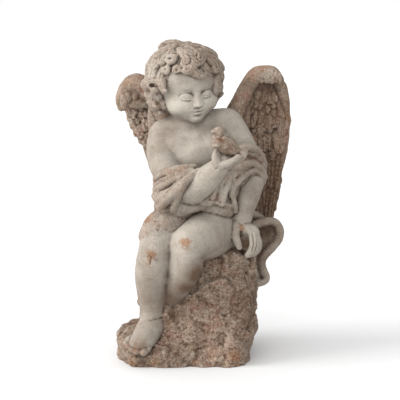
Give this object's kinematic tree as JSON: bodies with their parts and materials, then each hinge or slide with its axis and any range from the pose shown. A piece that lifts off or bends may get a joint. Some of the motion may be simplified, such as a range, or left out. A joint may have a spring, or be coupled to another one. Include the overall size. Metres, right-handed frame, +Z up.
{
  "type": "angel statue",
  "caption": "Garden statue of a seated winged cherub in a loose cloth, on a rock, with a small bird in its raised palm.",
  "frame": {"origin": "middle of the statue's outline seen from above, on the flat underside of the rock", "axes": "+Z up along the height, +X to the viewer's right, the figure's chest and knees face -Y and its wings are on the +Y side"},
  "size_m": [0.33, 0.2582, 0.58],
  "materials": {
    "weathered_cast_stone": "matt, gritty, with a worn whitish wash over a terracotta-brown body"
  },
  "bodies": {
    "root": {"angel_statue": "weathered_cast_stone"}
  },
  "joints": []
}
